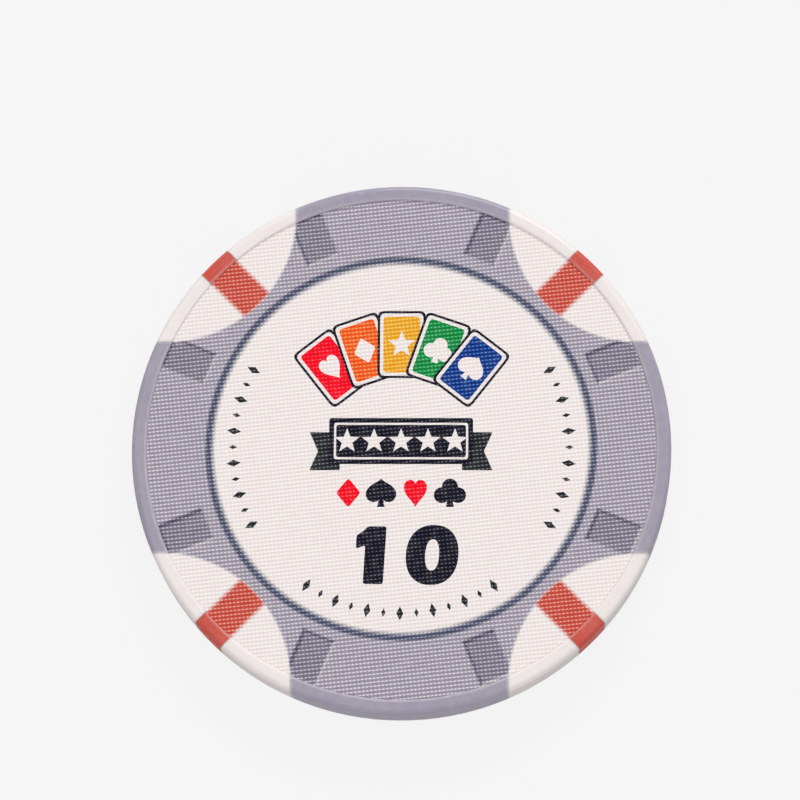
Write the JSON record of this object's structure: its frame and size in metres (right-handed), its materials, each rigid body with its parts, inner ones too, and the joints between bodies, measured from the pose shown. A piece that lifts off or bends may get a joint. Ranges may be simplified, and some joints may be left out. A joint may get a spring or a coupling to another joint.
{
  "type": "poker chip",
  "caption": "Round plastic poker chip with a steel slug inside, moulded white and red edge spots, and a printed textured label seated in a shallow recess in each face.",
  "frame": {"origin": "centre of the back rim's plane, on the chip's axis, where the chip rests on a table", "axes": "+Z along the chip's axis, out of the front face; +Y up the print; +X to the print's right"},
  "size_m": [0.039, 0.039, 0.0033],
  "materials": {
    "body_grey": "moulded grey plastic with a soft satin sheen",
    "spot_white": "moulded warm white plastic with a soft satin sheen",
    "stripe_red": "moulded brick red plastic with a soft satin sheen",
    "slug_steel": "stamped and plated steel",
    "label_print": "printed vinyl, grey ground with white, red and dark slate inks",
    "label_overlay": "clear film embossed with fine dots",
    "label_adhesive": "clear pressure-sensitive adhesive"
  },
  "bodies": {
    "root": {"body": "body_grey", "steel_slug": "slug_steel", "white_spot_1": "spot_white", "white_spot_2": "spot_white", "white_spot_3": "spot_white", "white_spot_4": "spot_white", "red_stripe_1": "stripe_red", "red_stripe_2": "stripe_red", "red_stripe_3": "stripe_red", "red_stripe_4": "stripe_red", "front_adhesive": "label_adhesive", "front_label": "label_print", "front_overlay": "label_overlay", "back_adhesive": "label_adhesive", "back_label": "label_print", "back_overlay": "label_overlay"}
  },
  "joints": []
}
